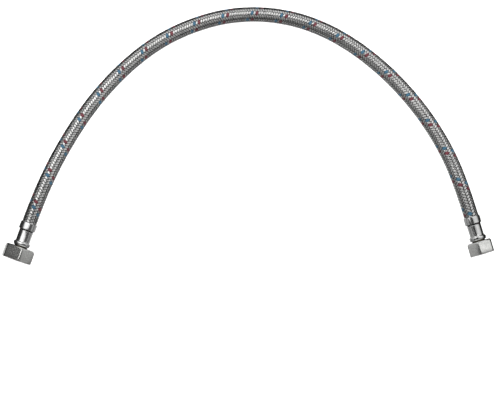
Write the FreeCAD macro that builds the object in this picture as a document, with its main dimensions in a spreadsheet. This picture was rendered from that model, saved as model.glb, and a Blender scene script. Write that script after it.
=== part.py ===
import FreeCAD, Part
import math
import os

import Sketcher

# A braided supply line: a rubber tube in a woven stainless braid, crimped at each end onto a
# brass stem that carries a loose hexagon nut and a sealing gasket. The large end is G 1/2, the
# small end G 3/8. The line lies on a surface in a wide arch, +Z up, with the origin on that
# surface, in the middle between its two fittings. Millimetres and degrees.
#
# Each end has a frame of its own: the origin in the ferrule's collar, where the hose's free
# route ends, +X along the fitting towards the mouth of its nut, +Z up. Sizes that end in "at"
# are places on that axis.

SIZES = {
    # the hose
    "hose_radius": 6,
    "tube_radius": 5.5,
    "bore_radius": 4,
    # the hose inside a ferrule, squeezed onto the stem
    "hose_end_at": 17.9,
    "squeezed_braid_radius": 5.5,
    "squeezed_tube_radius": 5,
    # the ferrule, the same at both ends
    "ferrule_wall": 0.5,
    "collar_mouth_at": -1.8,
    "collar_end_at": 4.1,
    "collar_radius": 7.05,
    "crimp_slope": 0.7,
    "crimp_radius": 6,
    "cup_length": 3.2,
    "cup_radius": 7.1,
    "ferrule_end_at": 18.9,
    "cup_corner": 1.7,
    "cup_hole_radius": 4.7,
    # the stem, the same at both ends up to its flange
    "tail_at": 1.2,
    "tail_lead": 0.4,
    "tail_radius": 3.8,
    "barb_radius": 4.0,
    "barb_length": 1.8,
    "barb_pitch": 2.4,
    "last_barb_at": 15.6,
    "waterway_radius": 2.9,
    "neck_radius": 5.6,
    # both nuts
    "nut_at": 19.7,
    "neck_hole_radius": 5.7,
    # the large end
    "large_flats": 24,
    "large_nut_length": 11.6,
    "large_nut_floor": 1.9,
    "large_thread_minor": 9.3155,
    "large_undercut_length": 4.9,
    "large_undercut_radius": 10.6,
    "large_mouth_radius": 10.55,
    "large_mouth_depth": 0.8,
    "large_back_round": 11.2,
    "large_front_round": 12.5,
    "large_flange_at": 22.4,
    "large_flange_length": 1.3,
    "large_flange_radius": 8.9,
    "large_gasket_at": 24.45,
    "large_gasket_length": 2,
    "large_gasket_radius": 9.5,
    "large_gasket_hole": 5,
    # the small end
    "small_flats": 20,
    "small_nut_length": 11.1,
    "small_nut_floor": 1.8,
    "small_thread_minor": 7.475,
    "small_undercut_length": 4.8,
    "small_undercut_radius": 8.45,
    "small_mouth_radius": 8.4,
    "small_mouth_depth": 0.7,
    "small_back_round": 9.4,
    "small_front_round": 10.4,
    "small_flange_at": 22.3,
    "small_flange_length": 1.3,
    "small_flange_radius": 7.1,
    "small_gasket_at": 24.35,
    "small_gasket_length": 1.9,
    "small_gasket_radius": 7.6,
    "small_gasket_hole": 4,
    # rounded edges
    "gasket_edge": 0.3,
    "collar_edge": 0.2,
}

BARBS = 6
BEYOND = 2  # how far a cutting outline runs past the piece that it cuts

# The hose's free route from collar to collar. It leaves each fitting level, at the height of a
# nut that stands on one of its corners, and comes down to lie on the surface.
ROUTE = [
    (-184.8, 12.9, 13.63),
    (-175.7, 38.3, 13.63),
    (-155.9, 79.2, 6.0),
    (-128.0, 121.1, 6.0),
    (-93.1, 156.0, 6.0),
    (-57.7, 177.9, 6.0),
    (-14.0, 191.1, 6.0),
    (31.0, 189.8, 6.0),
    (71.9, 175.3, 6.0),
    (109.9, 148.9, 6.0),
    (142.1, 115.5, 6.0),
    (167.0, 77.5, 6.0),
    (181.4, 42.0, 11.49),
    (188.6, 18.0, 11.49),
]
ARC_SHARE = 0.45  # of the shorter run beside a point, on each side of it, taken by its arc

# Where on the route each fitting sits, the point it faces away from, and how far its nut is
# turned about its axis from standing with one corner straight up.
FITTINGS = {
    "large": {"exit": 0, "behind": 1, "nut_turn": -10.5},
    "small": {"exit": -1, "behind": -2, "nut_turn": 6},
}


def make_sheet(doc):
    """The spreadsheet of driving dimensions, one named cell each."""
    sheet = doc.addObject("Spreadsheet::Sheet", "sizes")
    for row, (alias, size) in enumerate(SIZES.items(), start=1):
        sheet.set(f"A{row}", alias.replace("_", " "))
        sheet.set(f"B{row}", str(size))
        sheet.setAlias(f"B{row}", alias)
    doc.recompute()
    return sheet


def bound(words):
    """An expression in the sheet's names: each word that is an alias gets the sheet's name."""
    parts = (f"sizes.{word}" if word in SIZES else word for word in words.split())
    return " ".join(parts)


def value(doc, words):
    """What an expression in the sheet's names comes to now."""
    return float(doc.sizes.evalExpression(bound(words)))


def origin_plane(body, role):
    """One of a body's own origin planes."""
    return next(plane for plane in body.Origin.OriginFeatures if plane.Role == role)


def outline(body, name, corners):
    """A closed sketch of straight lines on a body's XY plane, bound to the sheet.

    Each corner is a pair of expressions: its place along the fitting, and its radius.
    """
    doc = body.Document
    sketch = body.newObject("Sketcher::SketchObject", name)
    sketch.AttachmentSupport = [(origin_plane(body, "XY_Plane"), "")]
    sketch.MapMode = "FlatFace"
    points = [(value(doc, along), value(doc, radius)) for along, radius in corners]
    for here, there in zip(points, points[1:] + points[:1]):
        line = Part.LineSegment(FreeCAD.Vector(*here, 0), FreeCAD.Vector(*there, 0))
        sketch.addGeometry(line, False)
    for line in range(len(points)):
        following = (line + 1) % len(points)
        sketch.addConstraint(Sketcher.Constraint("Coincident", line, 2, following, 1))
    for line, (corner, point) in enumerate(zip(corners, points)):
        place_corner(sketch, line, "DistanceX", -2, corner[0], point[0])
        place_corner(sketch, line, "DistanceY", -1, corner[1], point[1])
    return sketch


def place_corner(sketch, line, kind, axis, words, size):
    """Hold a line's first point at a distance from the sketch's origin, or on an axis at zero."""
    if size == 0:
        sketch.addConstraint(Sketcher.Constraint("PointOnObject", line, 1, axis))
        return
    index = sketch.addConstraint(Sketcher.Constraint(kind, -1, 1, line, 1, size))
    sketch.setExpression(f"Constraints[{index}]", bound(words))


def turn(body, kind, name, corners):
    """Revolve an outline about the body's X axis: a PartDesign Revolution or Groove."""
    sketch = outline(body, f"{name}_outline", corners)
    feature = body.newObject(f"PartDesign::{kind}", name)
    feature.Profile = sketch
    feature.ReferenceAxis = (sketch, ["H_Axis"])
    feature.Angle = 360
    body.Document.recompute()
    return feature


def round_edges(body, name, base, places, radius):
    """Fillet the circular edges of a turned feature at the given (along, radius) places."""
    doc = body.Document
    wanted = [(value(doc, along), value(doc, across)) for along, across in places]
    names = []
    for index, edge in enumerate(base.Shape.Edges, start=1):
        if not isinstance(edge.Curve, Part.Circle):
            continue
        found = (edge.Curve.Center.x, edge.Curve.Radius)
        if any(math.dist(found, place) < 0.001 for place in wanted):
            names.append(f"Edge{index}")
    fillet = body.newObject("PartDesign::Fillet", name)
    fillet.Base = (base, names)
    fillet.setExpression("Radius", bound(radius))
    doc.recompute()
    return fillet


def new_body(doc, name, placement):
    """A PartDesign body with its label and its place."""
    body = doc.addObject("PartDesign::Body", name)
    body.Label = name
    body.Placement = placement
    return body


def fitting_placement(end):
    """Where a fitting's own frame lies: at the route's end, facing away from the hose."""
    exit_point = FreeCAD.Vector(*ROUTE[FITTINGS[end]["exit"]])
    behind = FreeCAD.Vector(*ROUTE[FITTINGS[end]["behind"]])
    facing = exit_point - behind
    heading = math.degrees(math.atan2(facing.y, facing.x))
    return FreeCAD.Placement(exit_point, FreeCAD.Rotation(FreeCAD.Vector(0, 0, 1), heading))


def make_ferrule(doc, end):
    """The drawn steel sleeve: an open collar, a crimped barrel and a cup with a round corner."""
    cup_at = "ferrule_end_at - cup_length"
    body = new_body(doc, f"{end}_ferrule", fitting_placement(end))
    shell = turn(body, "Revolution", f"{end}_ferrule_shell", [
        ("collar_mouth_at", "collar_radius"),
        ("collar_end_at", "collar_radius"),
        ("collar_end_at + crimp_slope", "crimp_radius"),
        (f"{cup_at} - crimp_slope", "crimp_radius"),
        (cup_at, "cup_radius"),
        ("ferrule_end_at", "cup_radius"),
        ("ferrule_end_at", "cup_hole_radius"),
        ("ferrule_end_at - ferrule_wall", "cup_hole_radius"),
        ("ferrule_end_at - ferrule_wall", "cup_radius - ferrule_wall"),
        (cup_at, "cup_radius - ferrule_wall"),
        (f"{cup_at} - crimp_slope", "crimp_radius - ferrule_wall"),
        ("collar_end_at + crimp_slope", "crimp_radius - ferrule_wall"),
        ("collar_end_at", "collar_radius - ferrule_wall"),
        ("collar_mouth_at", "collar_radius - ferrule_wall"),
    ])
    outside = round_edges(body, f"{end}_cup_outside", shell,
                          [("ferrule_end_at", "cup_radius")], "cup_corner")
    inside = round_edges(body, f"{end}_cup_inside", outside,
                         [("ferrule_end_at - ferrule_wall", "cup_radius - ferrule_wall")],
                         "cup_corner - ferrule_wall")
    mouth = ("collar_mouth_at", "collar_radius")
    round_edges(body, f"{end}_collar_edge", inside, [mouth], "collar_edge")
    return body


def make_stem(doc, end):
    """The brass stem: barbs in the hose, a neck through the nut, a flange and the waterway."""
    face = f"{end}_flange_at + {end}_flange_length"
    corners = [
        (face, "waterway_radius"),
        (face, f"{end}_flange_radius"),
        (f"{end}_flange_at", f"{end}_flange_radius"),
        (f"{end}_flange_at", "neck_radius"),
        ("ferrule_end_at", "neck_radius"),
        ("ferrule_end_at", "cup_hole_radius"),
        ("hose_end_at", "cup_hole_radius"),
        ("hose_end_at", "tail_radius"),
    ]
    for barb in range(BARBS):
        barb_at = f"last_barb_at - {barb} * barb_pitch"
        corners.append((barb_at, "tail_radius"))
        corners.append((barb_at, "barb_radius"))
        corners.append((f"{barb_at} - barb_length", "tail_radius"))
    corners.append(("tail_at + tail_lead", "tail_radius"))
    corners.append(("tail_at", "tail_radius - tail_lead"))
    corners.append(("tail_at", "waterway_radius"))
    body = new_body(doc, f"{end}_stem", fitting_placement(end))
    turn(body, "Revolution", f"{end}_stem_turning", corners)
    return body


def make_gasket(doc, end):
    """The flat rubber washer that seals on the stem's flange."""
    start = f"{end}_gasket_at"
    face = f"{end}_gasket_at + {end}_gasket_length"
    body = new_body(doc, f"{end}_gasket", fitting_placement(end))
    washer = turn(body, "Revolution", f"{end}_gasket_washer", [
        (start, f"{end}_gasket_hole"),
        (face, f"{end}_gasket_hole"),
        (face, f"{end}_gasket_radius"),
        (start, f"{end}_gasket_radius"),
    ])
    outer_edges = [(start, f"{end}_gasket_radius"), (face, f"{end}_gasket_radius")]
    round_edges(body, f"{end}_gasket_edges", washer, outer_edges, "gasket_edge")
    return body


def make_nut(doc, end):
    """The loose hexagon nut: a threaded cavity, kept on the stem by the floor behind it."""
    turned = FreeCAD.Rotation(FreeCAD.Vector(1, 0, 0), FITTINGS[end]["nut_turn"])
    placement = fitting_placement(end).multiply(FreeCAD.Placement(FreeCAD.Vector(), turned))
    body = new_body(doc, f"{end}_nut", placement)
    hexagon = body.newObject("PartDesign::AdditivePrism", f"{end}_hexagon")
    hexagon.AttachmentSupport = [(origin_plane(body, "YZ_Plane"), "")]
    hexagon.MapMode = "FlatFace"
    corner_up = FreeCAD.Rotation(FreeCAD.Vector(0, 0, 1), 90)
    hexagon.AttachmentOffset = FreeCAD.Placement(FreeCAD.Vector(), corner_up)
    hexagon.setExpression("AttachmentOffset.Base.z", bound("nut_at"))
    hexagon.Polygon = 6
    hexagon.setExpression("Circumradius", bound(f"{end}_flats / sqrt(3)"))
    hexagon.setExpression("Height", bound(f"{end}_nut_length"))
    doc.recompute()

    mouth = f"nut_at + {end}_nut_length"
    floor = f"nut_at + {end}_nut_floor"
    whole = hexagon.Shape.Volume
    cavity = turn(body, "Groove", f"{end}_cavity", [
        (f"nut_at - {BEYOND}", "0"),
        (f"nut_at - {BEYOND}", "neck_hole_radius"),
        (floor, "neck_hole_radius"),
        (floor, f"{end}_undercut_radius"),
        (f"{floor} + {end}_undercut_length", f"{end}_undercut_radius"),
        (f"{floor} + {end}_undercut_length", f"{end}_thread_minor"),
        (f"{mouth} - {end}_mouth_depth", f"{end}_thread_minor"),
        (mouth, f"{end}_mouth_radius"),
        (f"{mouth} + {BEYOND}", f"{end}_mouth_radius"),
        (f"{mouth} + {BEYOND}", "0"),
    ])
    hollow = cavity.Shape.Volume
    back = turn(body, "Groove", f"{end}_back_rounding", [
        ("nut_at", f"{end}_back_round"),
        (f"nut_at + ( {end}_flats - {end}_back_round ) * tan(30)", f"{end}_flats"),
        ("nut_at", f"{end}_flats"),
    ])
    front = turn(body, "Groove", f"{end}_front_rounding", [
        (mouth, f"{end}_front_round"),
        (f"{mouth} - ( {end}_flats - {end}_front_round ) * tan(30)", f"{end}_flats"),
        (mouth, f"{end}_flats"),
    ])
    volumes = [whole, hollow, back.Shape.Volume, front.Shape.Volume]
    if volumes != sorted(volumes, reverse=True) or len(set(volumes)) < len(volumes):
        raise RuntimeError(f"a groove of the {end} nut cut nothing: {volumes}")
    return body


def make_route(doc):
    """The hose's centreline: straight runs joined by tangent arcs."""
    points = [FreeCAD.Vector(*point) for point in ROUTE]
    edges = []
    radii = []
    here = points[0]
    for before, corner, after in zip(points, points[1:], points[2:]):
        incoming = corner - before
        outgoing = after - corner
        reach = ARC_SHARE * min(incoming.Length, outgoing.Length)
        incoming.normalize()
        outgoing.normalize()
        half_turn = incoming.getAngle(outgoing) / 2
        radius = reach / math.tan(half_turn)
        inwards = (outgoing - incoming).normalize()
        start = corner - incoming * reach
        end = corner + outgoing * reach
        middle = corner + inwards * (radius / math.cos(half_turn) - radius)
        edges.append(Part.LineSegment(here, start).toShape())
        edges.append(Part.Arc(start, middle, end).toShape())
        radii.append(radius)
        here = end
    edges.append(Part.LineSegment(here, points[-1]).toShape())
    route = doc.addObject("Part::Feature", "hose_route")
    route.Shape = Part.Wire(edges)
    print("arc radii:", ", ".join(f"{radius:.0f}" for radius in radii))
    print(f"free length of the hose: {route.Shape.Length:.1f}")
    return route


def sweep_circle(doc, route, name, radius):
    """A solid rod of one radius along the route."""
    start = FreeCAD.Vector(*ROUTE[0])
    heading = FreeCAD.Vector(*ROUTE[1]) - start
    circle = doc.addObject("Part::Circle", f"{name}_circle")
    circle.setExpression("Radius", bound(radius))
    across = FreeCAD.Rotation(FreeCAD.Vector(0, 0, 1), heading)
    circle.Placement = FreeCAD.Placement(start, across)
    rod = doc.addObject("Part::Sweep", f"{name}_sweep")
    rod.Sections = [circle]
    rod.Spine = (route, [f"Edge{index + 1}" for index in range(len(route.Shape.Edges))])
    rod.Solid = True
    return rod


def make_hose_layer(doc, route, name, outer, inner, end_outline):
    """One layer of the hose: a tube along the route, and a squeezed stretch in each ferrule."""
    free = doc.addObject("Part::Cut", f"{name}_free")
    free.Base = sweep_circle(doc, route, f"{name}_outside", outer)
    free.Tool = sweep_circle(doc, route, f"{name}_inside", inner)
    ends = []
    for end in FITTINGS:
        squeezed = new_body(doc, f"{name}_in_{end}_ferrule", fitting_placement(end))
        turn(squeezed, "Revolution", f"{name}_{end}_turning", end_outline)
        ends.append(squeezed)
    layer = doc.addObject("Part::MultiFuse", name)
    layer.Shapes = [free] + ends
    layer.Label = name
    doc.recompute()
    section = math.pi * (value(doc, outer) ** 2 - value(doc, inner) ** 2)
    expected = section * route.Shape.Length
    print(f"{name}: free volume {free.Shape.Volume:.0f}, section by length {expected:.0f}")
    return layer


def squeezed_side(wide, narrow):
    """The wavy side of a hose layer in a ferrule, from the collar to the cut end."""
    cup_at = "ferrule_end_at - cup_length"
    return [
        ("0", wide),
        ("collar_end_at", wide),
        ("collar_end_at + crimp_slope", narrow),
        (f"{cup_at} - crimp_slope", narrow),
        (cup_at, wide),
        ("hose_end_at", wide),
    ]


def make_hose(doc):
    """The woven braid over the rubber tube."""
    route = make_route(doc)
    braid_side = squeezed_side("hose_radius", "squeezed_braid_radius")
    tube_side = squeezed_side("tube_radius", "squeezed_tube_radius")
    bore_side = [
        ("0", "bore_radius"),
        ("tail_at", "bore_radius"),
        ("tail_at + tail_lead", "tail_radius"),
        ("hose_end_at", "tail_radius"),
    ]
    braid = make_hose_layer(doc, route, "wire_braid", "hose_radius", "tube_radius",
                            braid_side + tube_side[::-1])
    tube = make_hose_layer(doc, route, "inner_tube", "tube_radius", "bore_radius",
                           tube_side + bore_side[::-1])
    return [braid, tube]


def check_document(doc, nodes):
    """Stop if any object failed, or a sub-part has no valid shape of one solid."""
    for item in doc.Objects:
        if "Invalid" in item.State or "Error" in item.State:
            raise RuntimeError(f"{item.Name} failed: {item.State}")
    for node in nodes:
        shape = node.Shape
        if shape.isNull() or not shape.isValid() or len(shape.Solids) != 1:
            raise RuntimeError(f"{node.Label} is not one valid solid")


def export_nodes(nodes):
    """Write each sub-part to its own STEP file, named after its label."""
    os.makedirs("parts", exist_ok=True)
    for node in nodes:
        node.Shape.exportStep(f"parts/{node.Label}.step")
        lowest = node.Shape.optimalBoundingBox(False).ZMin
        print(f"{node.Label}: {node.Shape.Volume:.0f} mm3, lowest point {lowest:.3f}")


def main():
    doc = FreeCAD.newDocument("braided_supply_line")
    make_sheet(doc)
    nodes = make_hose(doc)
    for end in FITTINGS:
        nodes.append(make_ferrule(doc, end))
        nodes.append(make_stem(doc, end))
        nodes.append(make_gasket(doc, end))
        nodes.append(make_nut(doc, end))
    doc.recompute()
    check_document(doc, nodes)
    export_nodes(nodes)


main()
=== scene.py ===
"""Braided supply line: the visual model.

A rubber tube in a braid of 24 woven strands lies in a wide arch on a pale floor. At each end a
crimped steel ferrule holds it on a brass stem, which carries a gasket and a loose hexagon nut.

Blender objects are in metres. The fittings' own sizes are in millimetres, on an axis that
starts where the hose leaves the ferrule's collar and runs towards the mouth of the nut.
"""

import math

import bpy
import numpy as np
from mathutils import Matrix, Vector


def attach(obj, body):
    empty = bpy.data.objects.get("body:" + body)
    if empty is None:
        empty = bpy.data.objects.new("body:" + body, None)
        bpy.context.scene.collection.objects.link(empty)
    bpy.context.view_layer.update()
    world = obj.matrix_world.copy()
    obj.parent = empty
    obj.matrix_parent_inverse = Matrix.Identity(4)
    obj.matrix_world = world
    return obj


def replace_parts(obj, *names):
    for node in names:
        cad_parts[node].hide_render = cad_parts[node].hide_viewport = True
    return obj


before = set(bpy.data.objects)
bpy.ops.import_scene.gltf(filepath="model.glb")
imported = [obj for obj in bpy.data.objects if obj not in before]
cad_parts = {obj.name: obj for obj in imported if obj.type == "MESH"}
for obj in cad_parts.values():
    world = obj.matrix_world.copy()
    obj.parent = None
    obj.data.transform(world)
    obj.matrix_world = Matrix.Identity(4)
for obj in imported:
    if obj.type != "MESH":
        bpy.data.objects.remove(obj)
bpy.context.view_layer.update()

MM = 0.001

# The hose's free route from collar to collar. Its low points are a braid's radius above the
# floor, so that the braid lies on it.
ROUTE = [
    (-0.1848, 0.0129, 0.01363),
    (-0.1757, 0.0383, 0.01363),
    (-0.1559, 0.0792, 0.00626),
    (-0.128, 0.1211, 0.00626),
    (-0.0931, 0.156, 0.00626),
    (-0.0577, 0.1779, 0.00626),
    (-0.014, 0.1911, 0.00626),
    (0.031, 0.1898, 0.00626),
    (0.0719, 0.1753, 0.00626),
    (0.1099, 0.1489, 0.00626),
    (0.1421, 0.1155, 0.00626),
    (0.167, 0.0775, 0.00626),
    (0.1814, 0.042, 0.01149),
    (0.1886, 0.018, 0.01149),
]

# The camera looks straight down. Its lens and sensor are in millimetres.
CAMERA_PLACE = (0.00165, 0.0319, 4.690)
CAMERA_LENS = 400.0
CAMERA_SENSOR = 36.0

# The hose, in millimetres. The braid's highest wires stand a little proud of the hose's nominal
# radius. The hose goes HOSE_END into each ferrule, which squeezes it from SQUEEZE_END on.
HOSE_RADIUS = 6.0
BRAID_TOP = 6.25
TUBE_RADIUS = 5.5
BORE_RADIUS = 4.0
HOSE_END = 17.9
SQUEEZE_START = 4.1
SQUEEZE_END = 4.8
SQUEEZED_BRAID = 5.5
SQUEEZED_TUBE = 5.0
TUBE_GAP = 0.02
TANGENT_REACH = 1.5

# The braid: twelve strands each way round, each over two and under two. A fill is a strand's
# width as a share of the room that it has. A pitch is the length of one turn, in millimetres: it
# is shortest at PITCH_MIDDLE_AT and grows towards both ends.
STRANDS_EACH_WAY = 12
WIRES = 6
STRAND_FILL = 0.8
YARN_FILL = 1.5
SPACING_SHARE = 0.96
MIDDLE_PITCH = 24.66
END_PITCH = 30.44
MOST_PITCH_SHARE = 1.2
PITCH_MIDDLE_AT = 262.3
RINGS_PER_TURN = 48

# How steeply a strand dips, how rounded and furrowed its top is, and how unevenly it lies:
# sideways in three waves, and up and down in one, which start anywhere within PHASES radians.
WEAVE_STEEPNESS = 2.2
YARN_CROWN = 0.8
YARN_FURROW = 0.1
WIRE_VALLEY = 0.1
WANDER = 0.025
WANDER_WAVES = (5.3, 9.1, 17.0)
JITTER = 0.06
JITTER_WAVE = 3.1
PHASES = 6.3

# How far apart two strands' own coordinates start, so that no two have the same grain.
OWN_SPACING = 100.0

# How many turns along the hose the first strand comes to the top. The crossings line up
# COLUMN_LEAN degrees from straight up, less a drift between two places along the hose.
TRACER_TURN = 0.688
COLUMN_LEAN = 10.0
COLUMN_DRIFT = 15.0
DRIFT_FROM = 300.0
DRIFT_TO = 490.0

# The coloured yarns, by their number in the first set: name, material and record slot.
YARNS = {
    0: ("tracer_red", "red", "red_yarn"),
    2: ("tracer_blue", "blue", "blue_yarn"),
}

# Ferrule outline: place along, radius, and how far from the corner its rounding starts.
FERRULE = [
    (-1.8, 7.05, 0.2),
    (4.1, 7.05, 0.25),
    (4.8, 5.65, 0.12),
    (5.1, 5.65, 0.12),
    (5.5, 6.0, 0.15),
    (6.5, 6.0, 0.0),
    (13.4, 6.0, 0.0),
    (14.4, 6.0, 0.0),
    (15.0, 6.0, 0.25),
    (15.7, 7.1, 0.45),
    (18.9, 7.1, 1.9),
    (18.9, 4.7, 0.12),
    (18.4, 4.7, 0.12),
    (18.4, 6.6, 1.3),
    (15.7, 6.6, 0.0),
    (15.0, 5.5, 0.0),
    (4.8, 5.5, 0.0),
    (4.1, 6.55, 0.0),
    (-1.8, 6.55, 0.15),
]

# The crimping: soft flats that fade out at both ends of the barrel, on what lies further out than
# CRIMPED_OUTSIDE. The groove behind the collar, from one place along to another, gets painted
# shade.
CRIMP_JAWS = 6
CRIMP_DEPTH = 0.14
CRIMP_FROM = 5.5
CRIMP_TO = 14.8
CRIMP_FADE = 1.2
CRIMPED_OUTSIDE = 5.8
COLLAR_GROOVE = (4.15, 5.35)

# Edges of turned pieces that turn by more than this, in degrees, are sharp.
SHARP_ANGLE = 50.0

# Both nuts: where the back face is, the hole for the stem's neck, the rounding of the hexagon's
# corners, the slope of the turned ends and how many rings one turn of the thread has.
NUT_AT = 19.7
NECK_HOLE = 5.7
CORNER_ROUND = 1.1
CHAMFER = math.tan(math.radians(30))
THREAD_ROWS = 8

# Each end: which points of the route its exit direction comes from, how far the nut and the
# crimping are turned about the axis, and the sizes of its nut and gasket.
ENDS = {
    "large": {
        "exit": 0,
        "behind": 1,
        "nut_turn": -10.5,
        "crimp_turn": -24.0,
        "flats": 24.0,
        "nut_length": 11.6,
        "floor": 1.9,
        "undercut": 4.9,
        "undercut_radius": 10.6,
        "thread_minor": 9.3155,
        "thread_major": 10.4775,
        "thread_pitch": 1.814,
        "mouth_radius": 10.55,
        "mouth_depth": 0.8,
        "back_round": 11.2,
        "front_round": 12.5,
        "gasket_at": 24.45,
        "gasket_length": 2.0,
        "gasket_radius": 9.5,
        "gasket_hole": 5.0,
    },
    "small": {
        "exit": -1,
        "behind": -2,
        "nut_turn": 6.0,
        "crimp_turn": -16.0,
        "flats": 20.0,
        "nut_length": 11.1,
        "floor": 1.8,
        "undercut": 4.8,
        "undercut_radius": 8.45,
        "thread_minor": 7.475,
        "thread_major": 8.331,
        "thread_pitch": 1.337,
        "mouth_radius": 8.4,
        "mouth_depth": 0.7,
        "back_round": 9.4,
        "front_round": 10.4,
        "gasket_at": 24.35,
        "gasket_length": 1.9,
        "gasket_radius": 7.6,
        "gasket_hole": 4.0,
    },
}

# The light panels that lean out over the arch: bearing from its middle and lean, in degrees, and
# power. Each is aimed at the floor PANEL_REACH out from the middle, from PANEL_DISTANCE away.
PANEL_CENTRE = Vector((0.0, 0.02, 0.0))
PANEL_REACH = 0.18
PANEL_DISTANCE = 0.36
PANEL_SIZE = (0.2, 0.55)
PANEL_SPREAD = 110.0
PANELS = [
    (165.0, 19.0, 0.26),
    (145.0, 44.0, 0.29),
    (118.0, 46.0, 0.30),
    (90.0, 46.0, 0.30),
    (62.0, 46.0, 0.31),
    (35.0, 46.0, 0.31),
    (8.0, 46.0, 0.13),
]
# How many of them, from the first on, leave the large nut dark.
PANELS_OFF_LARGE_NUT = 2

# The studio, in metres. A glow is how strongly a sheet shines.
FLOOR_SIDE = 8.5
FLOOR_DROP = 0.0001
WALL_RADIUS = 8.0
WALL_HEIGHT = 8.0
WALL_SIDES = 48
WALL_GLOW = 0.95
ARCH_GLOW = 0.5
NUT_GLOW = 0.9
FRONT_GLOW = 0.3
FRONT_CARD = [(-0.9, -0.028), (0.9, -0.028), (0.9, -1.2), (-0.9, -1.2)]

# The surroundings: greys at the horizon, above it and straight overhead, and between which
# heights of a direction one gives way to the next.
HORIZON_GREY = (0.04, 0.04, 0.04)
SKY_GREY = (0.13, 0.13, 0.13)
OVERHEAD_GREY = (0.06, 0.06, 0.06)
HORIZON_TO_SKY = (-0.05, 0.6)
SKY_TO_OVERHEAD = (0.94, 0.98)

# The other two cards, in millimetres: how far inside the hose's line the card in the arch ends,
# how far it goes on past the nuts' back faces, and the corners of the card beside the large nut
# in its fitting's frame.
CARD_GAP = 4.0
CARD_PAST_NUT = 10.0
NUT_CARD = [(19.0, -9.0), (32.0, -9.0), (32.0, -18.3), (19.0, -18.3)]

# Materials: how often soft patches repeat per metre and their share beside the grain, which part
# of the noise is used, between which heights a strand goes from painted shade to full colour, and
# how dark that painted shade is; then the colour of the painted shade in a groove and how soft its
# edges are.
PATCH_SCALE = 120.0
PATCH_SHARE = 0.35
GRAIN_RANGE = (0.3, 0.7)
STRAND_PAINTED_SHADE_RANGE = (0.46, 0.92)
STRAND_PAINTED_SHADE = 0.1
GROOVE_PAINTED_SHADE = (0.05, 0.05, 0.05)
GROOVE_EDGE = 0.1


def make_camera():
    """The camera above the arch, looking straight down."""
    data = bpy.data.cameras.new("camera")
    data.lens = CAMERA_LENS
    data.sensor_width = CAMERA_SENSOR
    camera = bpy.data.objects.new("camera", data)
    camera.location = CAMERA_PLACE
    bpy.context.scene.collection.objects.link(camera)
    bpy.context.scene.camera = camera


# ---------------------------------------------------------------- the hose's line


def route_points():
    """The points down the middle of the free hose, read from one smooth NURBS spline."""
    data = bpy.data.curves.new("hose_route", "CURVE")
    data.dimensions = "3D"
    data.resolution_u = 40
    spline = data.splines.new("NURBS")
    spline.points.add(len(ROUTE) - 1)
    for point, place in zip(spline.points, ROUTE):
        point.co = (*place, 1.0)
    spline.order_u = 3
    spline.use_endpoint_u = True
    holder = bpy.data.objects.new("hose_route", data)
    mesh = bpy.data.meshes.new_from_object(holder)
    points = np.array([vertex.co for vertex in mesh.vertices])
    bpy.data.meshes.remove(mesh)
    bpy.data.objects.remove(holder)
    bpy.data.curves.remove(data)
    return points


def unit(vectors):
    """Vectors scaled to length one."""
    return vectors / np.linalg.norm(vectors, axis=-1, keepdims=True)


class Line:
    """The hose's middle line, in millimetres along, with a straight run into each ferrule."""

    def __init__(self, points):
        reach = 2 * HOSE_END * MM
        first = points[0] - unit(points[1] - points[0]) * reach
        last = points[-1] + unit(points[-1] - points[-2]) * reach
        self.points = np.vstack([first, points, last])
        steps = np.linalg.norm(np.diff(self.points, axis=0), axis=1) / MM
        self.along = np.concatenate([[0.0], np.cumsum(steps)]) - steps[0]
        self.length = self.along[-2]

    def at(self, along):
        """The places on the line at these distances from its start."""
        return np.stack([np.interp(along, self.along, self.points[:, k]) for k in range(3)], -1)

    def frames(self, along):
        """Places, the upward and the outward direction across the hose."""
        ahead = unit(self.at(along + TANGENT_REACH) - self.at(along - TANGENT_REACH))
        outward = unit(np.cross([0.0, 0.0, 1.0], ahead))
        upward = np.cross(ahead, outward)
        return self.at(along), upward, outward

    def depth(self, along):
        """How far into a ferrule each place is; not above zero on the free hose."""
        return np.maximum(-along, along - self.length)

    def squeezed(self, along, free, crimped):
        """A size that is one value on the free hose and another under the crimp."""
        return np.interp(self.depth(along), [SQUEEZE_START, SQUEEZE_END], [free, crimped])

    def surface(self, along, angle, radius):
        """Points on the hose at an angle from straight up, positive towards the outside."""
        place, upward, outward = self.frames(along)
        angle = angle[..., None]
        across = upward * np.cos(angle) + outward * np.sin(angle)
        return place + across * radius[..., None] * MM


# ---------------------------------------------------------------- meshes


def grid_mesh(name, grid, loop):
    """A closed mesh over a grid of points. Its rows are rings, and it is a loop or has two ends."""
    rows, columns = grid.shape[:2]
    index = np.arange(rows * columns).reshape(rows, columns)
    count = rows if loop else rows - 1
    here = index[:count]
    there = np.roll(index, -1, axis=0)[:count]
    sides = [here, np.roll(here, -1, axis=1), np.roll(there, -1, axis=1), there]
    quads = np.stack(sides, axis=-1).reshape(-1, 4)
    points = grid.reshape(-1, 3)
    corners = points[quads] - points.mean(axis=0)
    normals = np.cross(corners[:, 1] - corners[:, 0], corners[:, 2] - corners[:, 0])
    inside_out = np.einsum("ij,ij->", corners[:, 0], normals) < 0
    faces = quads.tolist()
    if not loop:
        faces += [index[0][::-1].tolist(), index[-1].tolist()]
    if inside_out:
        faces = [face[::-1] for face in faces]
    mesh = bpy.data.meshes.new(name)
    mesh.from_pydata(points.tolist(), [], faces)
    mesh.shade_smooth()
    return mesh


def mark_sharp_columns(mesh, columns, sharp):
    """Make the edges that run along some of a grid's columns sharp."""
    ends = np.zeros(len(mesh.edges) * 2, np.int32)
    mesh.edges.foreach_get("vertices", ends)
    column = ends.reshape(-1, 2) % columns
    marked = (column[:, 0] == column[:, 1]) & np.isin(column[:, 0], sharp)
    attribute = mesh.attributes.new("sharp_edge", "BOOLEAN", "EDGE")
    attribute.data.foreach_set("value", marked)


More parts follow.
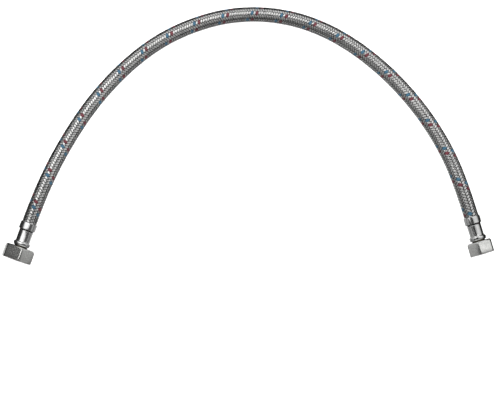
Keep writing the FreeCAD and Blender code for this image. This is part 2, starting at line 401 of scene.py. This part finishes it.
def store_own(mesh, places):
    """Keep a piece's own coordinates, in millimetres, which its material's grain follows."""
    attribute = mesh.attributes.new("own", "FLOAT_VECTOR", "POINT")
    attribute.data.foreach_set("vector", places.astype(np.float32).ravel())


def new_piece(name, mesh, material, body):
    """An object for a mesh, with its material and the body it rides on."""
    piece = bpy.data.objects.new(name, mesh)
    bpy.context.scene.collection.objects.link(piece)
    mesh.materials.append(material)
    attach(piece, body)
    return piece


# ---------------------------------------------------------------- the hose


def turns(along):
    """How many turns a strand has made at these distances; the pitch is shortest in the middle."""
    step = 0.5
    before_start = -60.0
    past_end = 640.0
    grid = np.arange(before_start, past_end, step)
    share = (grid - PITCH_MIDDLE_AT) / (line.length / 2)
    pitch = MIDDLE_PITCH + (END_PITCH - MIDDLE_PITCH) * np.minimum(share**2, MOST_PITCH_SHARE)
    made = np.cumsum(step / pitch)
    made -= np.interp(0.0, grid, made)
    return np.interp(along, grid, made)


def swing(along):
    """How far round, in radians, a strand has gone at these distances."""
    return 2 * math.pi * (turns(along) - TRACER_TURN)


def column_angle(along):
    """Where the middle column of the first set's over-crossings lies, from straight up."""
    share = np.clip((along - DRIFT_FROM) / (DRIFT_TO - DRIFT_FROM), 0.0, 1.0)
    eased = share * share * (3 - 2 * share)
    return np.radians(COLUMN_LEAN - COLUMN_DRIFT * eased)


def make_tube():
    """The rubber tube, the whole length of the hose and squeezed under the crimps."""
    rings = 360
    segments = 40
    along = np.linspace(-HOSE_END, line.length + HOSE_END, rings)
    along = np.sort(np.concatenate([along, [-SQUEEZE_START, -SQUEEZE_END],
                                    [line.length + SQUEEZE_START, line.length + SQUEEZE_END]]))
    angle = np.linspace(0.0, 2 * math.pi, segments, endpoint=False)
    outside = line.squeezed(along, TUBE_RADIUS - TUBE_GAP, SQUEEZED_TUBE - TUBE_GAP)
    inside = np.full(len(along), BORE_RADIUS)
    there_and_back = np.concatenate([along, along[::-1]])
    radius = np.concatenate([outside, inside])
    shape = (len(radius), segments)
    grid = line.surface(
        np.broadcast_to(there_and_back[:, None], shape),
        np.broadcast_to(angle, shape),
        np.broadcast_to(radius[:, None], shape),
    )
    mesh = grid_mesh("inner_hose", grid, loop=True)
    store_own(mesh, np.stack(np.broadcast_arrays(
        there_and_back[:, None], radius[:, None] * angle, radius[:, None]), axis=-1))
    return mesh


def strand_outline(yarn):
    """A strand's cross-section: places across it, heights, and which columns are sharp.

    Widths are shares of the strand's width, and heights are shares of half its thickness.
    """
    across = np.linspace(-0.5, 0.5, 2 * WIRES + 1)
    sharp = [2 * WIRES + 1, 2 * WIRES + 2]
    if yarn:
        height = 1.0 - YARN_CROWN * across**2
        height[::2] -= YARN_FURROW
    else:
        height = np.where(np.arange(2 * WIRES + 1) % 2, 1.0, WIRE_VALLEY)
        sharp = list(range(0, 2 * WIRES + 1, 2)) + sharp
    across = np.concatenate([across, [0.5, -0.5]])
    height = np.concatenate([height, [-1.0, -1.0]])
    return across, height, sharp


def weave(phase):
    """How far over or under the crossing strands a strand lies: 1 over, -1 under."""
    return np.tanh(WEAVE_STEEPNESS * np.cos(phase)) / math.tanh(WEAVE_STEEPNESS)


def unevenness(along, seed):
    """How far a strand wanders sideways and how its wires' height varies."""
    rng = np.random.default_rng(seed)
    wander = sum(WANDER * np.sin(along / wave + rng.uniform(0, PHASES)) for wave in WANDER_WAVES)
    jitter = 1.0 + JITTER * np.sin(along / JITTER_WAVE + rng.uniform(0, PHASES))[:, None]
    return wander, jitter


def make_strand(name, number, way, yarn):
    """One strand of the braid; way is 1 for the set that the tracers are in, else -1."""
    step = 2 * math.pi / STRANDS_EACH_WAY
    ends = np.array([-HOSE_END, line.length + HOSE_END])
    along = np.linspace(*ends, round(np.ptp(turns(ends)) * RINGS_PER_TURN))
    middle = line.squeezed(along, (BRAID_TOP + TUBE_RADIUS) / 2,
                           (SQUEEZED_BRAID + SQUEEZED_TUBE) / 2)
    half = line.squeezed(along, (BRAID_TOP - TUBE_RADIUS) / 4,
                         (SQUEEZED_BRAID - SQUEEZED_TUBE) / 4)
    wander, jitter = unevenness(along, 100 * number + way + 1)

    slant = np.arctan(2 * math.pi * HOSE_RADIUS * np.gradient(turns(along), along))
    spacing = 2 * math.pi * HOSE_RADIUS * SPACING_SHARE / STRANDS_EACH_WAY * np.cos(slant)
    width = (YARN_FILL if yarn else STRAND_FILL) * spacing * middle / middle.max()
    across, height, sharp = strand_outline(yarn)
    offset = (across[None, :] * width[:, None]) + (wander * width / 2)[:, None]
    place = along[:, None] - way * offset * np.sin(slant)[:, None]
    shift = offset * np.cos(slant)[:, None] / middle[:, None]

    lag = 0.0 if way > 0 else 0.5
    angle = (number - lag) * step + way * swing(along)[:, None] + shift
    crossing = (angle + way * swing(place)) / step + 0.5 - lag
    over = way * weave(math.pi / 2 * (number + crossing - 0.5))
    radius = middle[:, None] + half[:, None] * (over + height[None, :] * jitter - JITTER)
    mesh = grid_mesh(name, line.surface(place, angle + column_angle(place), radius), loop=False)
    mark_sharp_columns(mesh, len(across), sharp)
    own_start = OWN_SPACING * (number + lag * 2 * STRANDS_EACH_WAY)
    store_own(mesh, np.stack([
        place + own_start,
        np.broadcast_to((across + 0.5) * WIRES, place.shape),
        (over + height) / 2,
    ], axis=-1))
    return mesh


def make_braid(materials):
    """Both sets of strands: the one that the coloured yarns are in, and the crossing one."""
    strands = []
    for number in range(STRANDS_EACH_WAY):
        plain = (f"strand_a{number:02d}", "wire", "braid")
        name, finish, slot = YARNS.get(number, plain)
        mesh = make_strand(name, number, 1, number in YARNS)
        strands.append(new_piece(name, mesh, materials[finish], "hose"))
        name = f"strand_b{number:02d}"
        mesh = make_strand(name, number, -1, False)
        strands.append(new_piece(name, mesh, materials["crossing_wire"], "hose"))
    for strand in strands:
        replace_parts(strand, "wire_braid")
    return strands


# ---------------------------------------------------------------- the fittings


def fitting_matrix(end, turn):
    """Where a fitting's own frame lies: +X towards its nut's mouth, +Z up, turned about +X."""
    exit_point = Vector(ROUTE[ENDS[end]["exit"]])
    facing = exit_point - Vector(ROUTE[ENDS[end]["behind"]])
    heading = math.atan2(facing.y, facing.x)
    place = Matrix.Translation(exit_point) @ Matrix.Rotation(heading, 4, "Z")
    return place @ Matrix.Rotation(math.radians(turn), 4, "X")


def rounded(corners):
    """A closed outline with its corners rounded: each is (along, radius, rounding)."""
    steps = np.linspace(0.0, 1.0, 5)[:, None]
    points = np.array([corner[:2] for corner in corners])
    outline = []
    for number, (*_, rounding) in enumerate(corners):
        corner = points[number]
        if rounding == 0:
            outline.append(corner[None, :])
            continue
        first = corner + unit(points[number - 1] - corner) * rounding
        last = corner + unit(points[(number + 1) % len(points)] - corner) * rounding
        outline.append((1 - steps)**2 * first + 2 * steps * (1 - steps) * corner + steps**2 * last)
    return np.vstack(outline)


def ring_grid(outline, segments):
    """The places along, radii and angles of an outline turned about the fitting's axis."""
    angle = np.linspace(0.0, 2 * math.pi, segments, endpoint=False)
    shape = (len(outline), segments)
    along = np.broadcast_to(outline[:, :1], shape)
    radius = np.broadcast_to(outline[:, 1:], shape)
    return along, radius, np.broadcast_to(angle, shape)


def turned_mesh(name, along, radius, angle, place):
    """A closed mesh from rings in a fitting's own frame, moved to where the fitting is."""
    grid = np.stack([along, radius * np.sin(angle), radius * np.cos(angle)], axis=-1)
    mesh = grid_mesh(name, grid * MM, loop=True)
    mesh.set_sharp_from_angle(angle=math.radians(SHARP_ANGLE))
    store_own(mesh, grid)
    mesh.transform(place)
    return mesh


def make_ferrule(end, material):
    """The crimped sleeve, with the soft flats that the crimping jaws leave on its barrel."""
    along, radius, angle = ring_grid(rounded(FERRULE), segments=120)
    jaw = 2 * math.pi / CRIMP_JAWS
    from_ridge = np.mod(angle - math.radians(ENDS[end]["crimp_turn"]), jaw) / jaw
    pressed = 1 - (2 * from_ridge - 1)**2
    inwards = np.minimum(along - CRIMP_FROM, CRIMP_TO - along) / CRIMP_FADE
    outside = radius > CRIMPED_OUTSIDE
    depth = CRIMP_DEPTH * pressed * np.clip(inwards, 0.0, 1.0) * outside
    name = f"{end}_ferrule_sleeve"
    mesh = turned_mesh(name, along, radius - depth, angle, fitting_matrix(end, 0.0))
    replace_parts(new_piece(name, mesh, material, "hose"), f"{end}_ferrule")


def make_gasket(end, material):
    """The rubber washer, with rounded edges."""
    size = ENDS[end]
    start = size["gasket_at"]
    face = start + size["gasket_length"]
    corners = [
        (start, size["gasket_hole"], 0.12),
        (face, size["gasket_hole"], 0.12),
        (face, size["gasket_radius"], 0.35),
        (start, size["gasket_radius"], 0.35),
    ]
    name = f"{end}_washer"
    rings = ring_grid(rounded(corners), segments=96)
    mesh = turned_mesh(name, *rings, fitting_matrix(end, 0.0))
    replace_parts(new_piece(name, mesh, material, f"{end}_gasket"), f"{end}_gasket")


def hexagon(flats):
    """Angles from up and radii of points round a hexagon with rounded corners, one corner up."""
    corner_points = 7
    flat_parts = 12
    middle = (flats / 2 - CORNER_ROUND) / math.cos(math.radians(30))
    ring = []
    for corner in range(6):
        facing = math.radians(60 * corner)
        centre = middle * np.array([math.sin(facing), math.cos(facing)])
        for bearing in facing + np.radians(np.linspace(-30, 30, corner_points)):
            ring.append(centre + CORNER_ROUND * np.array([math.sin(bearing), math.cos(bearing)]))
    points = []
    for number, point in enumerate(ring):
        points.append(point)
        if number % corner_points == corner_points - 1:
            following = ring[(number + 1) % len(ring)]
            shares = np.arange(1, flat_parts) / flat_parts
            points += [point + (following - point) * share for share in shares]
    points = np.array(points)
    return np.arctan2(points[:, 0], points[:, 1]), np.linalg.norm(points, axis=1)


def nut_rows(size, angle, radius):
    """The nut's surface as rings, from the back face's hole over the outside to the cavity.

    Each ring is a place along from the back face and a radius for every angle. The small steps
    between neighbouring rings are the rounding of its edges.
    """
    length = size["nut_length"]
    back = np.maximum(radius - size["back_round"], 0.0) * CHAMFER
    front = length - np.maximum(radius - size["front_round"], 0.0) * CHAMFER
    front_in = np.minimum(radius - 0.22, size["front_round"])
    rows = [
        (0.15, NECK_HOLE),
        (0.04, NECK_HOLE + 0.04),
        (0.0, NECK_HOLE + 0.15),
        (0.0, size["back_round"] - 0.12),
        (0.12 * CHAMFER, size["back_round"] + 0.12),
        (back - 0.16 * CHAMFER, radius - 0.16),
        (back + 0.03, radius - 0.035),
        (back + 0.2, radius),
        (front - 0.2, radius),
        (front - 0.04, radius - 0.05),
        (front, front_in),
        (length, np.minimum(front_in - 0.15, size["front_round"] - 0.15)),
        (length, size["mouth_radius"] + 0.12),
    ]
    floor = size["floor"]
    thread_end = floor + size["undercut"]
    step = size["thread_pitch"] / THREAD_ROWS
    for along in np.arange(length - 0.03, thread_end, -step):
        rows.append((along, thread_radius(size, along, angle)))
    rows += [
        (thread_end, thread_radius(size, thread_end, angle)),
        (thread_end - 0.05, size["undercut_radius"]),
        (floor + 0.3, size["undercut_radius"]),
        (floor + 0.06, size["undercut_radius"] - 0.06),
        (floor, size["undercut_radius"] - 0.3),
        (floor, NECK_HOLE + 0.15),
        (floor - 0.04, NECK_HOLE + 0.04),
        (floor - 0.15, NECK_HOLE),
    ]
    return rows


def thread_radius(size, along, angle):
    """The inside of the threaded wall: a rounded helical groove, opened at the mouth."""
    depth = size["thread_major"] - size["thread_minor"]
    wave = 2 * math.pi * along / size["thread_pitch"] - angle
    groove = size["thread_minor"] + depth * (0.5 - 0.5 * np.cos(wave))
    opening = (along - size["nut_length"] + size["mouth_depth"]) / size["mouth_depth"]
    cone = size["thread_minor"] + (size["mouth_radius"] - size["thread_minor"]) * opening
    return np.maximum(groove, cone)


def make_nut(end, material):
    """The hexagon nut, with rounded corners, turned ends, an undercut and a real thread."""
    size = ENDS[end]
    angle, radius = hexagon(size["flats"])
    rows = nut_rows(size, angle, radius)
    along = np.array([np.broadcast_to(row[0], angle.shape) for row in rows]) + NUT_AT
    radii = np.array([np.broadcast_to(row[1], angle.shape) for row in rows])
    angles = np.broadcast_to(angle, along.shape)
    name = f"{end}_hexagon"
    mesh = turned_mesh(name, along, radii, angles, fitting_matrix(end, size["nut_turn"]))
    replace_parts(new_piece(name, mesh, material, f"{end}_nut"), f"{end}_nut")


# ---------------------------------------------------------------- materials


def add_node(tree, kind, inputs=None, **settings):
    """A node with its settings and the values of its unlinked inputs."""
    node = tree.nodes.new(kind)
    for name, setting in settings.items():
        setattr(node, name, setting)
    for name, setting in (inputs or {}).items():
        node.inputs[name].default_value = setting
    return node


def mix_colours(tree, share, dark, light):
    """A colour between two others, by a share that another node gives."""
    node = add_node(tree, "ShaderNodeMix", data_type="RGBA")
    tree.links.new(share, node.inputs["Factor"])
    # Its colour inputs are numbers 6 and 7, and its colour output is number 2.
    for index, colour in ((6, dark), (7, light)):
        if isinstance(colour, tuple):
            node.inputs[index].default_value = (*colour, 1.0)
        else:
            tree.links.new(colour, node.inputs[index])
    return node.outputs[2]


def map_range(tree, value, low, high, to_low=0.0, to_high=1.0):
    """A value spread from one range over another and held inside it."""
    node = add_node(tree, "ShaderNodeMapRange", {
        "From Min": low, "From Max": high, "To Min": to_low, "To Max": to_high})
    tree.links.new(value, node.inputs["Value"])
    return node.outputs["Result"]


def part_of(tree, vector, letter):
    """The X, Y or Z of a vector."""
    parts = add_node(tree, "ShaderNodeSeparateXYZ")
    tree.links.new(vector, parts.inputs["Vector"])
    return parts.outputs[letter]


def add_noise(tree, vector, inputs):
    """A noise texture's value at a vector."""
    noise = add_node(tree, "ShaderNodeTexNoise", inputs)
    tree.links.new(vector, noise.inputs["Vector"])
    return noise.outputs["Fac"]


def new_material(name):
    """A new material and its shader."""
    made = bpy.data.materials.new(name)
    made.use_nodes = True
    return made, made.node_tree.nodes["Principled BSDF"]


def paint_strand_shade(tree, own, dark, colour):
    """A strand's colour, with painted shade between its wires and where it dips under another
    strand.
    """
    painted_shade = map_range(tree, part_of(tree, own, "Z"), *STRAND_PAINTED_SHADE_RANGE)
    return mix_colours(tree, painted_shade, tuple(STRAND_PAINTED_SHADE * part for part in dark), colour)


def paint_groove_shade(tree, own, groove, colour):
    """A colour with painted shade between two places along the piece's axis."""
    start, end = groove
    distance = add_node(tree, "ShaderNodeMath", operation="SUBTRACT")
    tree.links.new(part_of(tree, own, "X"), distance.inputs[0])
    distance.inputs[1].default_value = (start + end) / 2
    apart = add_node(tree, "ShaderNodeMath", operation="ABSOLUTE")
    tree.links.new(distance.outputs[0], apart.inputs[0])
    half = (end - start) / 2
    unshaded = map_range(tree, apart.outputs[0], half - GROOVE_EDGE, half + GROOVE_EDGE)
    return mix_colours(tree, unshaded, GROOVE_PAINTED_SHADE, colour)


def surface(name, dark, light, rough, grain, metallic=1.0, bump=0.1, depth=0.02,
            own=True, strand=False, sheen=0.0, shine=0.5, groove=None):
    """A material whose colour, roughness and relief follow a stretched grain and soft patches.

    Grain is how often it repeats each way, per millimetre, and depth is its relief's height in
    millimetres. They follow the piece's own coordinates, or the object's where own is False.
    Strand paints shade on a strand of the braid, between its wires and where it dips under
    another, and groove is the start and end of a stretch of painted shade.
    """
    made, shader = new_material(name)
    tree = made.node_tree
    shader.inputs["Metallic"].default_value = metallic
    shader.inputs["Sheen Weight"].default_value = sheen
    shader.inputs["Specular IOR Level"].default_value = shine
    coordinates = add_node(tree, "ShaderNodeTexCoord").outputs["Object"]
    along = coordinates
    scale = tuple(often / MM for often in grain)
    if own:
        along = add_node(tree, "ShaderNodeAttribute", attribute_name="own").outputs["Vector"]
        scale = grain
    mapping = add_node(tree, "ShaderNodeMapping", {"Scale": scale})
    tree.links.new(along, mapping.inputs["Vector"])
    fine = add_noise(tree, mapping.outputs["Vector"],
                     {"Scale": 1.0, "Detail": 4.0, "Roughness": 0.6})
    broad = add_noise(tree, coordinates, {"Scale": PATCH_SCALE, "Detail": 2.0})
    # The node's plain values are its inputs 2 and 3 and its output 0.
    both = add_node(tree, "ShaderNodeMix", {"Factor": PATCH_SHARE}, data_type="FLOAT")
    tree.links.new(fine, both.inputs[2])
    tree.links.new(broad, both.inputs[3])
    share = both.outputs[0]

    colour = mix_colours(tree, map_range(tree, share, *GRAIN_RANGE), dark, light)
    # Painted shade on a strand: darker between its wires and where it dips under another strand.
    if strand:
        colour = paint_strand_shade(tree, along, dark, colour)
    # Painted shade in the groove behind the ferrule's collar.
    if groove:
        colour = paint_groove_shade(tree, along, groove, colour)
    tree.links.new(colour, shader.inputs["Base Color"])
    tree.links.new(map_range(tree, share, *GRAIN_RANGE, *rough), shader.inputs["Roughness"])
    relief = add_node(tree, "ShaderNodeBump", {"Strength": bump, "Distance": depth * MM})
    tree.links.new(fine, relief.inputs["Height"])
    tree.links.new(relief.outputs["Normal"], shader.inputs["Normal"])
    return made


def make_materials():
    """Every material, by name."""
    wire = {"grain": (0.35, 3.0, 0.0), "strand": True, "bump": 0.15, "depth": 0.01}
    yarn = {"grain": (0.5, 5.0, 0.0), "rough": (0.45, 0.6), "metallic": 0.0, "strand": True,
            "bump": 0.5, "sheen": 0.08, "shine": 0.25}
    return {
        # Both sets are the same steel wire: the first set's lighter colour is painted light and the
        # crossing set's darker colour is painted shade, for light that catches strands running one
        # way.
        "wire": surface("wire_painted_lit", dark=(0.60, 0.60, 0.60), light=(0.95, 0.95, 0.93),
                        rough=(0.19, 0.33), **wire),
        "crossing_wire": surface("wire_painted_shade", dark=(0.50, 0.50, 0.50), light=(0.80, 0.80, 0.79),
                                 rough=(0.22, 0.36), **wire),
        "blue": surface("blue_yarn", dark=(0.012, 0.037, 0.064), light=(0.036, 0.105, 0.158),
                        **yarn),
        "red": surface("red_yarn", dark=(0.038, 0.008, 0.011), light=(0.115, 0.025, 0.034),
                       **yarn),
        "rubber": surface("tube_rubber", dark=(0.012, 0.012, 0.012), light=(0.03, 0.03, 0.03),
                          rough=(0.5, 0.7), grain=(0.6, 1.5, 1.5), metallic=0.0, bump=0.3),
        "sleeve": surface("drawn_steel", dark=(0.48, 0.485, 0.485), light=(0.62, 0.62, 0.615),
                          rough=(0.13, 0.24), grain=(0.12, 2.5, 2.5), bump=0.04, depth=0.01,
                          groove=COLLAR_GROOVE),
        "nickel": surface("nickel_plate", dark=(0.49, 0.495, 0.48), light=(0.75, 0.75, 0.73),
                          rough=(0.16, 0.27), grain=(0.9, 0.9, 0.9), bump=0.12),
        # The stem's brass is painted nearly black: painted shade for the dark gap between ferrule
        # and nut.
        "brass": surface("brass_painted_shade", dark=(0.03, 0.026, 0.019), light=(0.08, 0.067, 0.045),
                         rough=(0.4, 0.55), grain=(0.6, 0.6, 0.6), own=False),
        "gasket": surface("gasket_rubber", dark=(0.014, 0.014, 0.015),
                          light=(0.035, 0.035, 0.036), rough=(0.5, 0.7), grain=(1.8, 1.8, 1.8),
                          metallic=0.0, bump=0.35),
    }


# ---------------------------------------------------------------- the studio


def stage_sheet(name, points, faces, material):
    """A sheet that lies or stands round the object."""
    mesh = bpy.data.meshes.new(name)
    mesh.from_pydata(points, [], faces)
    mesh.materials.append(material)
    sheet = bpy.data.objects.new(name, mesh)
    bpy.context.scene.collection.objects.link(sheet)
    return sheet


def glowing(name, strength):
    """A material that only shines, evenly."""
    made, shader = new_material(name)
    shader.inputs["Base Color"].default_value = (0.0, 0.0, 0.0, 1.0)
    shader.inputs["Emission Color"].default_value = (1.0, 1.0, 1.0, 1.0)
    shader.inputs["Emission Strength"].default_value = strength
    return made


def make_floor():
    """A plain pale floor, just under the object, which doesn't show in the metal."""
    made, shader = new_material("floor")
    shader.inputs["Base Color"].default_value = (0.92, 0.92, 0.92, 1.0)
    shader.inputs["Roughness"].default_value = 0.9
    shader.inputs["Specular IOR Level"].default_value = 0.1
    side = FLOOR_SIDE
    corners = [(-side, -side, 0.0), (side, -side, 0.0), (side, side, 0.0), (-side, side, 0.0)]
    floor = stage_sheet("floor", corners, [(0, 1, 2, 3)], made)
    floor.location.z = -FLOOR_DROP
    floor.visible_glossy = False


def make_backdrop():
    """A plain pale wall round the floor, which only the camera sees."""
    bearings = np.linspace(0.0, 2 * math.pi, WALL_SIDES, endpoint=False)
    heights = np.zeros(WALL_SIDES)
    ring = WALL_RADIUS * np.stack([np.cos(bearings), np.sin(bearings), heights], axis=-1)
    points = np.vstack([ring, ring + [0.0, 0.0, WALL_HEIGHT]])
    here = np.arange(WALL_SIDES)
    there = np.roll(here, -1)
    faces = np.stack([here, there, there + WALL_SIDES, here + WALL_SIDES], axis=-1)
    wall = stage_sheet("backdrop", points.tolist(), faces.tolist(),
                       glowing("backdrop", WALL_GLOW))
    wall.visible_glossy = False
    wall.visible_diffuse = False
    wall.visible_shadow = False


def make_card(name, corners, strength):
    """A pale sheet on the floor, which only the reflections in the metal show."""
    points = [(x, y, 0.0) for x, y, *_ in corners]
    card = stage_sheet(name, points, [list(range(len(points)))], glowing(name, strength))
    card.visible_camera = False
    card.visible_diffuse = False
    card.visible_shadow = False


def make_cards():
    """Cards that fill the arch, lie beside the large nut and lie in front of the object."""
    past_collar = NUT_AT + CARD_PAST_NUT
    along = np.linspace(-past_collar, line.length + past_collar, 60)
    place, _, outward = line.frames(along)
    make_card("arch_card", (place - outward * CARD_GAP * MM).tolist(), ARCH_GLOW)
    matrix = fitting_matrix("large", 0.0)
    beside = [matrix @ (Vector((along, across, 0.0)) * MM) for along, across in NUT_CARD]
    make_card("nut_card", beside, NUT_GLOW)
    make_card("front_card", FRONT_CARD, FRONT_GLOW)


def make_panel(name, place, aim, size, power, spread=180.0, in_reflections=True):
    """A soft rectangular light. Its spread, in degrees, is narrower where it has a grid."""
    data = bpy.data.lights.new(name, "AREA")
    data.shape = "RECTANGLE"
    data.size = size[0]
    data.size_y = size[1]
    data.energy = power
    data.spread = math.radians(spread)
    panel = bpy.data.objects.new(name, data)
    panel.location = place
    facing = Vector(aim) - Vector(place)
    panel.rotation_euler = facing.to_track_quat("-Z", "Y").to_euler()
    panel.visible_glossy = in_reflections
    panel.visible_camera = False
    bpy.context.scene.collection.objects.link(panel)
    return panel


def link_light(panel, piece, state):
    """Let a light reach only this piece (INCLUDE), or everything but it (EXCLUDE)."""
    receivers = bpy.data.collections.new(f"{panel.name}_receivers")
    receivers.objects.link(piece)
    receivers.collection_objects[0].light_linking.link_state = state
    panel.light_linking.receiver_collection = receivers


def make_world():
    """Grey surroundings that darken towards the horizon and straight overhead."""
    world = bpy.data.worlds.new("studio")
    world.use_nodes = True
    tree = world.node_tree
    direction = add_node(tree, "ShaderNodeTexCoord").outputs["Generated"]
    up = part_of(tree, direction, "Z")
    risen = map_range(tree, up, *HORIZON_TO_SKY)
    colour = mix_colours(tree, risen, HORIZON_GREY, SKY_GREY)
    overhead = map_range(tree, up, *SKY_TO_OVERHEAD)
    colour = mix_colours(tree, overhead, colour, OVERHEAD_GREY)
    tree.links.new(colour, tree.nodes["Background"].inputs["Color"])
    bpy.context.scene.world = world


def make_arch_panels(large_nut):
    """Panels leaning out over the arch, whose reflection is the bright line along the hose."""
    for number, (bearing, lean, power) in enumerate(PANELS):
        turn = math.radians(bearing)
        tilt = math.radians(lean)
        outward = Vector((math.cos(turn), math.sin(turn), 0.0))
        aim = PANEL_CENTRE + outward * PANEL_REACH
        away = outward * math.sin(tilt) + Vector((0.0, 0.0, math.cos(tilt)))
        panel = make_panel(f"panel_{number}", aim + PANEL_DISTANCE * away, aim, PANEL_SIZE, power,
                           spread=PANEL_SPREAD)
        if number < PANELS_OFF_LARGE_NUT:
            link_light(panel, large_nut, "EXCLUDE")


def make_corner_light(large_nut):
    """A light for the large nut alone, along its upper corner."""
    matrix = fitting_matrix("large", 0.0)
    nut_middle = matrix @ Vector((0.0255, 0.0, 0.0))
    place = matrix @ Vector((0.0255, -0.12, 0.34))
    corner = make_panel("corner", place, aim=nut_middle, size=(0.2, 0.08), power=0.25)
    link_light(corner, large_nut, "INCLUDE")


def make_even_fill():
    """An even light from above and behind, without shadows, that no reflection shows."""
    data = bpy.data.lights.new("even_fill", "SUN")
    data.energy = 3.6
    data.use_shadow = False
    even = bpy.data.objects.new("even_fill", data)
    even.rotation_euler.x = math.radians(-35)
    even.visible_glossy = False
    bpy.context.scene.collection.objects.link(even)


def make_lights():
    """The surroundings, the panels, a dim one inside the arch, the nut's own and two fills."""
    make_world()
    large_nut = bpy.data.objects["large_hexagon"]
    make_arch_panels(large_nut)
    make_panel("inside_low", (0.0, 0.02, 0.04), aim=(0.0, 0.02, 0.0), size=(0.3, 0.24),
               power=0.10)
    make_corner_light(large_nut)
    make_panel("fill", (0.0, 0.03, 1.9), aim=(0.0, 0.03, 0.0), size=(2.2, 2.2), power=6.0,
               in_reflections=False)
    make_even_fill()


make_camera()
line = Line(route_points())
materials = make_materials()
strands = make_braid(materials)

tube = new_piece("inner_hose", make_tube(), materials["rubber"], "hose")
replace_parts(tube, "inner_tube")

for end_name in ENDS:
    make_ferrule(end_name, materials["sleeve"])
    make_gasket(end_name, materials["gasket"])
    make_nut(end_name, materials["nickel"])
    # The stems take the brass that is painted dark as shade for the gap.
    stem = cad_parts[f"{end_name}_stem"]
    for stem_slot in stem.material_slots:
        stem_slot.material = materials["brass"]

make_floor()
make_backdrop()
make_cards()
make_lights()
bpy.context.scene.view_settings.view_transform = "Standard"
